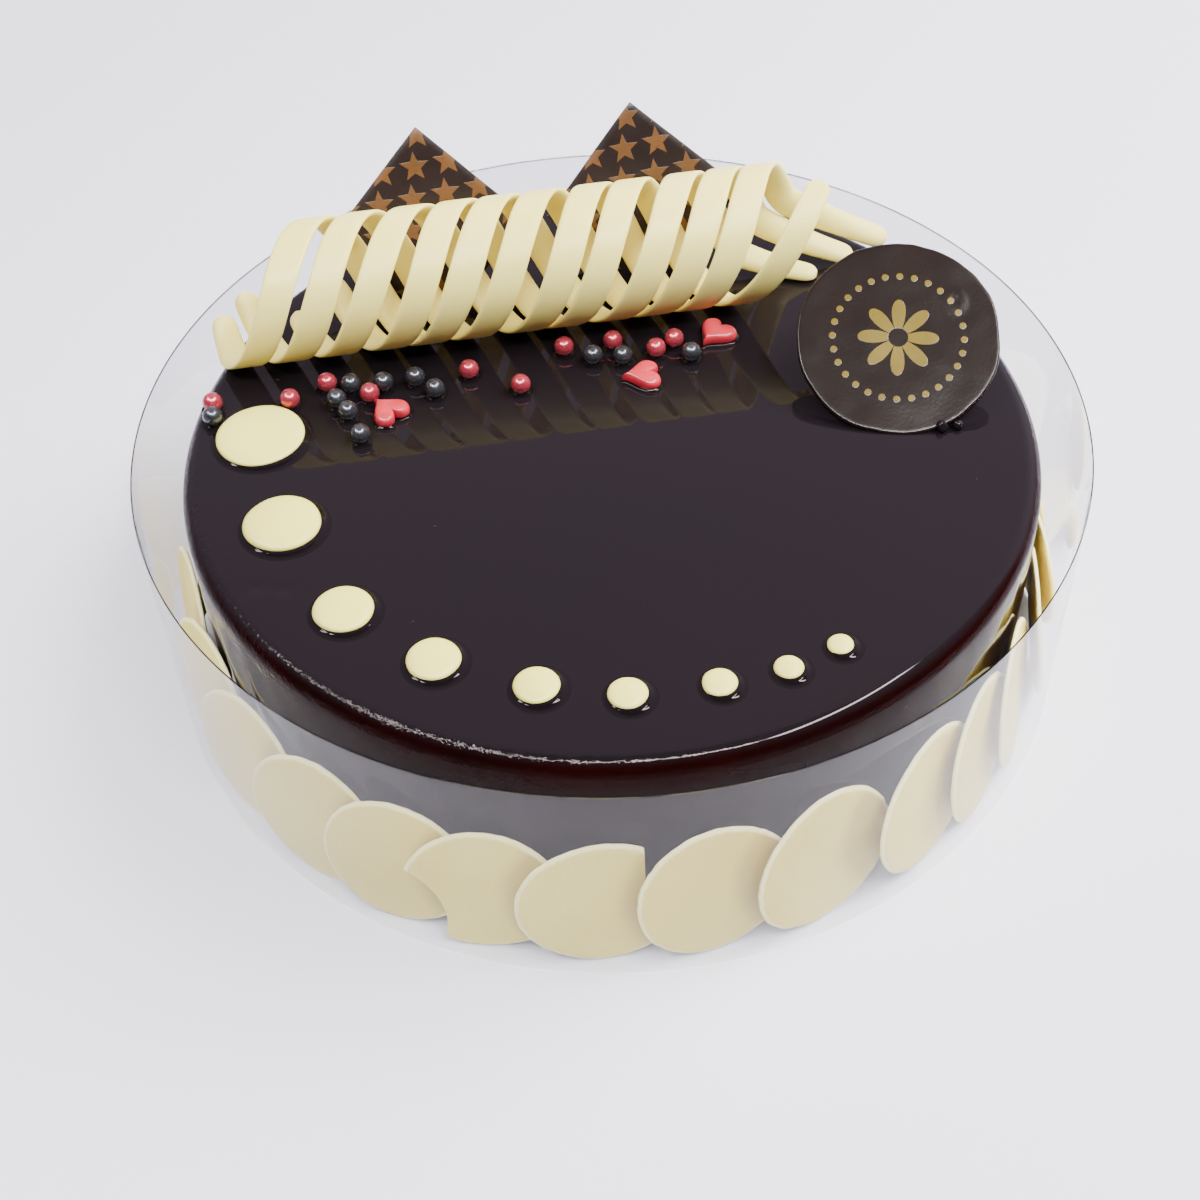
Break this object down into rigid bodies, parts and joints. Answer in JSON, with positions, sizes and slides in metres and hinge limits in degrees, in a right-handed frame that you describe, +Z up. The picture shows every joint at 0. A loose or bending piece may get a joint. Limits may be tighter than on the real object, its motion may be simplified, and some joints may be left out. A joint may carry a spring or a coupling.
{
  "type": "mousse cake",
  "caption": "Round mousse cake with a dark mirror glaze, white chocolate curl, drops and side discs, chocolate squares, a plaque, sugar pearls and hearts, in a clear collar.",
  "frame": {"origin": "centre of the cake's flat underside", "axes": "+Z up, X along the chocolate curl that lies across the back of the top, -Y towards the front"},
  "size_m": [0.224, 0.224, 0.0945],
  "materials": {
    "glaze": "mirror-gloss cocoa glaze",
    "white_chocolate": "satin",
    "printed_chocolate": "satin, printed with a small star pattern",
    "milk_chocolate": "satin",
    "white_chocolate_drop": "semi-gloss",
    "heart_sugar": "gloss",
    "white_chocolate_disc": "satin",
    "clear_film": "clear gloss film"
  },
  "bodies": {
    "root": {"cake": "glaze", "curl_strand_1": "white_chocolate", "curl_strand_2": "white_chocolate", "curl_strand_3": "white_chocolate", "curl_strand_4": "white_chocolate", "star_square_1": "printed_chocolate", "star_square_2": "printed_chocolate", "plaque": "milk_chocolate", "drop_1": "white_chocolate_drop", "drop_2": "white_chocolate_drop", "drop_3": "white_chocolate_drop", "drop_4": "white_chocolate_drop", "drop_5": "white_chocolate_drop", "drop_6": "white_chocolate_drop", "drop_7": "white_chocolate_drop", "drop_8": "white_chocolate_drop", "drop_9": "white_chocolate_drop", "heart_1": "heart_sugar", "heart_2": "heart_sugar", "heart_3": "heart_sugar", "side_disc_1": "white_chocolate_disc", "side_disc_2": "white_chocolate_disc", "side_disc_3": "white_chocolate_disc", "side_disc_4": "white_chocolate_disc", "side_disc_5": "white_chocolate_disc", "side_disc_6": "white_chocolate_disc", "side_disc_7": "white_chocolate_disc", "side_disc_8": "white_chocolate_disc", "side_disc_9": "white_chocolate_disc", "side_disc_10": "white_chocolate_disc", "side_disc_11": "white_chocolate_disc", "side_disc_12": "white_chocolate_disc", "side_disc_13": "white_chocolate_disc", "side_disc_14": "white_chocolate_disc", "side_disc_15": "white_chocolate_disc", "side_disc_16": "white_chocolate_disc", "side_disc_17": "white_chocolate_disc", "side_disc_18": "white_chocolate_disc", "side_disc_19": "white_chocolate_disc", "side_disc_20": "white_chocolate_disc", "side_disc_21": "white_chocolate_disc", "side_disc_22": "white_chocolate_disc", "side_disc_23": "white_chocolate_disc", "side_disc_24": "white_chocolate_disc", "side_disc_25": "white_chocolate_disc", "side_disc_26": "white_chocolate_disc", "side_disc_27": "white_chocolate_disc", "side_disc_28": "white_chocolate_disc", "collar": "clear_film"}
  },
  "joints": []
}
